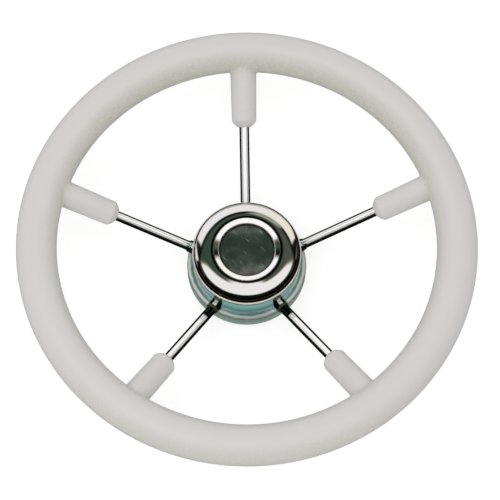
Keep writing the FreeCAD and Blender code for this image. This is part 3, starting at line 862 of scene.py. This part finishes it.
def sleeveRows(angles, meeting, innerMeeting):
    # The sleeve's section as distance down the spoke and from its axis, with normals: from the joint down
    # the taper, round the nose and its mouth, and back up the rod's way to the joint with the ring's way.
    root, tip, bore = grip["root"], grip["tip"], grip["bore"]
    start, reach, mouth, radius = grip["noseStart"], grip["reach"], grip["mouth"], grip["noseRadius"]
    thinning = (root - tip) / start
    chord = np.array([start - reach, tip - mouth])
    rise = math.sqrt(radius**2 - (chord @ chord) / 4)
    left = np.array([-chord[1], chord[0]]) / math.sqrt(chord @ chord)
    centre = np.array([start + reach, tip + mouth]) / 2 + left * rise

    # The rounding between taper and nose: its middle is the corner radius below the taper, and radius less
    # corner from the nose's middle, which a square equation gives. The arcs' doubled points are dropped.
    corner = grip["noseCorner"]
    upper = math.hypot(1, thinning)
    under = root - corner * upper - centre[1]
    half = centre[0] + thinning * under
    beyond = centre[0] ** 2 + under**2 - (radius - corner) ** 2
    place = (half + math.sqrt(half**2 - upper**2 * beyond)) / upper**2
    middle = np.array([place, root - thinning * place - corner * upper])
    first = math.degrees(math.atan2(middle[1] - centre[1], middle[0] - centre[0]))
    last = math.degrees(math.atan2(mouth - centre[1], reach - centre[0]))
    edge = grip["mouthEdge"]
    noseParts = [
        arc(middle, corner, math.degrees(math.atan2(1, thinning)), first, 6),
        arc(centre, radius, first, last, 12),
        arc((reach, mouth - edge / 4), 0, 0, 0, 1),
        arc((reach - edge, bore + edge), edge, 0, -90, 5),
    ]
    nose = np.concatenate([np.concatenate(part, axis=1) for part in noseParts])
    nose = np.delete(nose, [7, 20], axis=0)
    nose = np.repeat(nose[:, None], len(angles), axis=1)

    ease = np.linspace(0, 1, grip["taperRows"] + 1)[1:-1, None] ** grip["easing"]
    along = meeting + ease * (nose[0, 0, 0] - meeting)
    away = root - thinning * along
    outer = np.stack([along, away, thinning + 0 * along, 1 + 0 * along], axis=-1)

    back = np.linspace(0, 1, grip["boreRows"] + 1)[1:-1, None]
    along = (reach - edge) + back * (innerMeeting - reach + edge)
    inner = np.stack([along, bore + 0 * along, 0 * along, -1 + 0 * along], axis=-1)
    return np.concatenate([outer, nose, inner])


def makeGrip():
    # Both skins for five sectors, with the sleeves between the outer window and the inner one.
    outerSize = [grip[name] for name in ("tube", "root", "tip", "fillet")]
    innerSize = [grip[name] for name in ("ringWay", "bore", "bore", "wayFillet")]
    outer, outerNormals, angles, meeting = gripSkin(outerSize)
    inner, innerNormals, _, innerMeeting = gripSkin(innerSize)
    section = sleeveRows(angles, meeting, innerMeeting)
    _, down, side, up = spokeFrame()
    out = np.cos(angles)[:, None] * side + np.sin(angles)[:, None] * up
    sleeve = onSpoke(section[..., 0], angles + 0 * section[..., 0], section[..., 1])
    sleeveNormals = section[..., 2:3] * down + section[..., 3:4] * out
    sleeveNormals /= np.linalg.norm(sleeveNormals, axis=-1, keepdims=True)
    taper = grip["taperRows"] - 1
    sleeve[:taper], sleeveNormals[:taper] = onUnion(sleeve[:taper], outerSize)
    bore = len(section) - grip["boreRows"] + 1
    sleeve[bore:], towards = onUnion(sleeve[bore:], innerSize)
    sleeveNormals[bore:] = -towards

    parts = [(outer, outerNormals), (inner, -innerNormals), (sleeve, sleeveNormals)]
    points = [repeatRound(part[0]) for part in parts]
    normals = [repeatRound(part[1]) for part in parts]
    spokes, columns, rows = points[0].shape[:3]
    skinCount = spokes * columns * rows
    outerIndex = np.arange(skinCount).reshape(spokes * columns, rows)
    innerIndex = outerIndex + skinCount
    half, hole = grip["block"], grip["hole"]
    column = np.arange(spokes * columns)[:, None] % columns + 0.5 - half
    row = np.arange(rows)[None] + 0.5 - half
    solid = ~((np.abs(column) < hole) & (np.abs(row) < hole)).reshape(-1)
    faces = [
        cellFaces(outerIndex, True, True)[solid],
        cellFaces(innerIndex, True, True)[solid][:, ::-1],
    ]
    edgeColumn, edgeRow = windowEdge(hole)
    count = section.shape[0] * section.shape[1]
    for spoke in range(spokes):
        own = 2 * skinCount + spoke * count + np.arange(count).reshape(section.shape[:2])
        place = (spoke * columns + half + edgeColumn, half + edgeRow)
        whole = np.concatenate([outerIndex[place][None], own, innerIndex[place][None]])
        faces.append(cellFaces(whole.T, closeRows=True))
    faces = np.concatenate(faces)
    used, faces = np.unique(faces, return_inverse=True)
    points = np.concatenate([part.reshape(-1, 3) for part in points])[used]
    normals = np.concatenate([part.reshape(-1, 3) for part in normals])[used]
    faces = faces.reshape(-1, 4).tolist()
    makePiece("rimGrip", points, faces, normals, makeGripMaterial(), "white_grip", "rim_grip")


makeGrip()
print("grip moulded")

makeTurnedPiece("domedCap", capOutline(), cap["turns"], makeCapMaterial(), "polished_steel", "centre_cap")

disc = {"turns": 160, "rim": 0.00035, "edge": 0.0001, "step": 0.001, "pole": 0.0004}


def discOutline():
    # A flat disc with a softened upper edge.
    radius, low, high, rim, edge = discHigh.x, discLow.z, discHigh.z, disc["rim"], disc["edge"]
    return joinOutline([
        arc((disc["pole"], low), 0, -90, -90, 1),
        arc((radius - edge, low + edge), edge, -90, 0, 3),
        arc((radius - rim, high - rim), rim, 0, 90, 8),
        arc((disc["pole"], high), 0, 90, 90, 1),
    ], disc["step"])


makeTurnedPiece("capDisc", discOutline(), disc["turns"], makeDiscMaterial(), "dark_disc", "cap_disc")
print("cap and disc turned")

brazed = makeBrazedMaterial("darkBraze")
brazedRod = makeBrazedMaterial("polishedRod")
turnedSteel = makeTurnedMaterial("turnedSteel")
finishes = {
    "hub_drum": makeWallMaterial(),
    "hub_dish": makeDishMaterial(),
    "hub_boss": turnedSteel,
    "rim_core": turnedSteel,
    "dish_screws": makeTurnedMaterial("screwSteel"),
    "cap_ring": makeBlackMaterial("blackPlastic"),
    "cap_o_ring": makeBlackMaterial("blackRubber"),
}
for number in range(1, wheel["spokes"] + 1):
    finishes[f"spoke_{number}"] = brazedRod
    finishes[f"spoke_ferrule_{number}"] = brazed
for name, finish in finishes.items():
    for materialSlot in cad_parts[name].material_slots:
        materialSlot.material = finish
print("finishes given to the packed pieces")


studio = {
    "floorColour": (0.42, 0.42, 0.42),
    "floorLift": 0.66,
    "floorReach": 6.0,
    "floorDrop": 0.0002,
    "nearFloor": (0.215, 0.40, 0.37),  # a painted sea-green reflection: what polished steel sees round the hub
    "farFloor": (0.012, 0.02, 0.016),
    "floorChange": (0.055, 0.062, 0, 1),
    "backdrop": (0.95, 0.95, 0.95),
    "softLight": (0.74, 0.74, 0.74),
    "overheadPower": 14,
    "overheadSize": 2.2,
    "overheadPlace": (-0.3, -0.3, 1.7),
    "nearPanel": (0.98, 0.97, 0.975),
    "nearBrim": (0.46, 0.28, 0.20),
    "farPanelLeft": (0.96, 0.94, 0.98),
    "farPanelRight": (0.96, 0.90, 0.76),
    "farPatch": (0.34, 0.36, 0.30),
    "leftPanel": (1.0, 0.94, 0.89),
    "rightPanel": (0.12, 0.12, 0.11),
    "dimLeft": (0.036, 0.072, 0.052),
    "dimRight": (0.085, 0.094, 0.072),
    "black": (0.004, 0.006, 0.005),
}


def addRayChoice(ray, usual, other):
    # The usual shader, or the other one for this kind of ray.
    choose = newNode(usual, "MixShader")
    connect(newNode(usual, "LightPath").outputs[ray], choose, "Fac")
    connect(usual, choose, 1)
    connect(other, choose, 2)
    return choose.outputs["Shader"]


def makeFloor():
    # A plain pale floor, a little below the hub's back face. For glossy rays it glows sea-green round the
    # hub and dark further out: a painted reflection.
    reach, low = studio["floorReach"], -studio["floorDrop"]
    mesh = bpy.data.meshes.new("floor")
    corners = [(-reach, -reach, low), (reach, -reach, low), (reach, reach, low), (-reach, reach, low)]
    mesh.from_pydata(corners, [], [(0, 1, 2, 3)])
    material, shader, place = startMaterial("paleFloor", studio["floorColour"], 0, 0.9)
    connect(0.1, shader, "Specular IOR Level")
    connect((1, 1, 1), shader, "Emission Color")
    connect(studio["floorLift"], shader, "Emission Strength")
    # For glossy rays the floor glows instead: a painted reflection.
    reflected = newNode(shader, "Emission")
    outside = addChange(studio, floorChange=measurePlace(place)[0])
    connect(addMix(outside, studio["nearFloor"], studio["farFloor"]), reflected, "Color")
    surface = addRayChoice("Is Glossy Ray", shader.outputs["BSDF"], reflected.outputs["Emission"])
    connect(surface, material.node_tree.nodes["Material Output"], "Surface")
    mesh.materials.append(material)
    floor = bpy.data.objects.new("floor", mesh)
    scene.collection.objects.link(floor)


def addSoftEdge(value, width):
    # Nought below minus width, one above it, and a smooth rise between.
    result = addRange(value, -width, width, 0, 1)
    result.node.interpolation_type = "SMOOTHSTEP"
    return result


def addSquare(value, size):
    # The square of the value over a size.
    return addMath("POWER", addMath("DIVIDE", value, size), 2)


def addLight(near, colour):
    light = newNode(near, "Background")
    connect(colour, light, "Color")
    return light.outputs["Background"]


# The panels in the sky, by the x and y of a direction, and how soft their edges are.
sky = {
    "near": {"width": 0.71, "level": 0.1, "depth": 0.585, "soft": 0.09},
    "brim": {"low": 0.03, "rise": 0.31, "high": 0.17, "peak": 0.33, "fall": 1.7, "soft": 0.075},
    "far": {"low": 0.738, "bow": 0.78, "soft": 0.035, "aside": 0.19, "sideSoft": 0.04},
    "ends": {"from": 0.79, "level": 0.38, "half": 0.18, "soft": 0.03},
    "dim": {"width": 0.76, "widthSoft": 0.06, "high": 0.62, "highSoft": 0.05, "low": 0.05, "lowSoft": 0.1},
    "patch": {"x": 0.2, "y": 0.63, "width": 0.17, "height": 0.09, "soft": 0.5},
    "across": {"far": (-0.2, 0.8, 0, 1), "dim": (-0.4, 0.5, 0, 1), "ends": 0.1},  # changes of colour by x
}


def makeSky():
    # Even light for the dull pieces. What shines sees soft white panels in a dark room. The near panel is
    # the inside of the ellipse (x / width)^2 + (min(y - level, 0) / depth)^2 = 1 below its brim, which is
    # the less of low + rise |x| and high, or peak - fall |x| where that is more. The far one lies above y =
    # low - bow x^2 where |x| < aside + y, with a dull patch under it, and there is a small one far out on
    # each side. Between them the room is dim, and black by the panels' edges.
    world = bpy.data.worlds.new("studio")
    world.use_nodes = True
    scene.world = world
    nodes = world.node_tree.nodes
    nodes.remove(nodes["Background"])
    x, y, _ = splitPlace(nodes.new("ShaderNodeTexCoord").outputs["Generated"])
    side = addMath("ABSOLUTE", x)

    shape = sky["near"]
    deep = addMath("MAXIMUM", difference(shape["level"], y), 0)
    inside = difference(1, addSquare(side, shape["width"]), addSquare(deep, shape["depth"]))
    near = addSoftEdge(inside, shape["soft"])
    shape = sky["brim"]
    brim = addMath("ADD", product(side, shape["rise"]), shape["low"])
    brim = addMath("MINIMUM", brim, shape["high"])
    peak = difference(shape["peak"], product(side, shape["fall"]))
    under = addSoftEdge(difference(addMath("MAXIMUM", brim, peak), y), shape["soft"])
    near = product(near, under)
    nearColour = addColours(under, [(0.3, studio["nearBrim"]), (0.85, studio["nearPanel"])])

    shape = sky["far"]
    arch = addMath("ADD", product(addMath("POWER", side, 2), shape["bow"]), y)
    over = addSoftEdge(difference(arch, shape["low"]), shape["soft"])
    slant = difference(addMath("ADD", y, shape["aside"]), side)
    far = product(over, addSoftEdge(slant, shape["sideSoft"]))
    farColour = addMix(addChange(sky["across"], far=x), studio["farPanelLeft"], studio["farPanelRight"])
    shape = sky["ends"]
    level = difference(shape["half"], addMath("ABSOLUTE", difference(y, shape["level"])))
    outer = addSoftEdge(difference(side, shape["from"]), shape["soft"])
    ends = product(addSoftEdge(level, shape["soft"]), outer)
    endColour = addMix(addSoftEdge(x, sky["across"]["ends"]), studio["leftPanel"], studio["rightPanel"])

    shape = sky["dim"]
    middle = product(
        addSoftEdge(difference(shape["width"], side), shape["widthSoft"]),
        addSoftEdge(difference(shape["high"], arch), shape["highSoft"]),
        addSoftEdge(addMath("ADD", y, shape["low"]), shape["lowSoft"]),
    )
    dim = addMix(addChange(sky["across"], dim=x), studio["dimLeft"], studio["dimRight"])
    shape = sky["patch"]
    across = addSquare(difference(x, shape["x"]), shape["width"])
    tall = addSquare(difference(y, shape["y"]), shape["height"])
    patch = addSoftEdge(difference(1, across, tall), shape["soft"])

    colour = studio["black"]
    for factor, panel in (
        (middle, dim), (patch, studio["farPatch"]), (near, nearColour), (far, farColour), (ends, endColour),
    ):
        colour = addMix(factor, colour, panel)
    shown = addRayChoice("Is Glossy Ray", addLight(x, studio["softLight"]), addLight(x, colour))
    shown = addRayChoice("Is Camera Ray", shown, addLight(x, studio["backdrop"]))
    connect(shown, nodes["World Output"], "Surface")


def makeLamp():
    # A soft square lamp over the wheel that polished metal doesn't show.
    lamp = bpy.data.lights.new("overhead", "AREA")
    lamp.energy, lamp.size = studio["overheadPower"], studio["overheadSize"]
    lampObject = bpy.data.objects.new("overhead", lamp)
    place = Vector(studio["overheadPlace"])
    lampObject.location = place
    lampObject.rotation_euler = (-place).to_track_quat("-Z", "Y").to_euler()
    lampObject.visible_glossy = False
    scene.collection.objects.link(lampObject)


makeFloor()
makeSky()
makeLamp()
scene.view_settings.view_transform = "Standard"

view = {
    "distance": 2.0,
    "height": 68.91,  # degrees above the rim's plane
    "aside": 1.55,
    "roll": 0.47,
    "lens": 190,
    "shift": (0.0062, -0.0134),
}


def makeCamera():
    # Looks at the rim's middle, and is rolled a little about its line of sight.
    height, aside, roll = (math.radians(view[name]) for name in ("height", "aside", "roll"))
    middle = Vector((0, 0, rimHeight))
    level = math.cos(height)
    back = Vector((-level * math.sin(aside), -level * math.cos(aside), math.sin(height)))
    right = back.cross(Vector((0, 0, -1))).normalized()
    right = right * math.cos(roll) + back.cross(right) * math.sin(roll)
    upward = back.cross(right)
    camera = bpy.data.cameras.new("camera")
    camera.lens, camera.sensor_width = view["lens"], 36
    camera.shift_x, camera.shift_y = view["shift"]
    cameraObject = bpy.data.objects.new("camera", camera)
    turn = Matrix((right, upward, back)).transposed()
    cameraObject.matrix_world = Matrix.Translation(middle + view["distance"] * back) @ turn.to_4x4()
    scene.collection.objects.link(cameraObject)
    scene.camera = cameraObject


makeCamera()
print("floor, light and camera set")
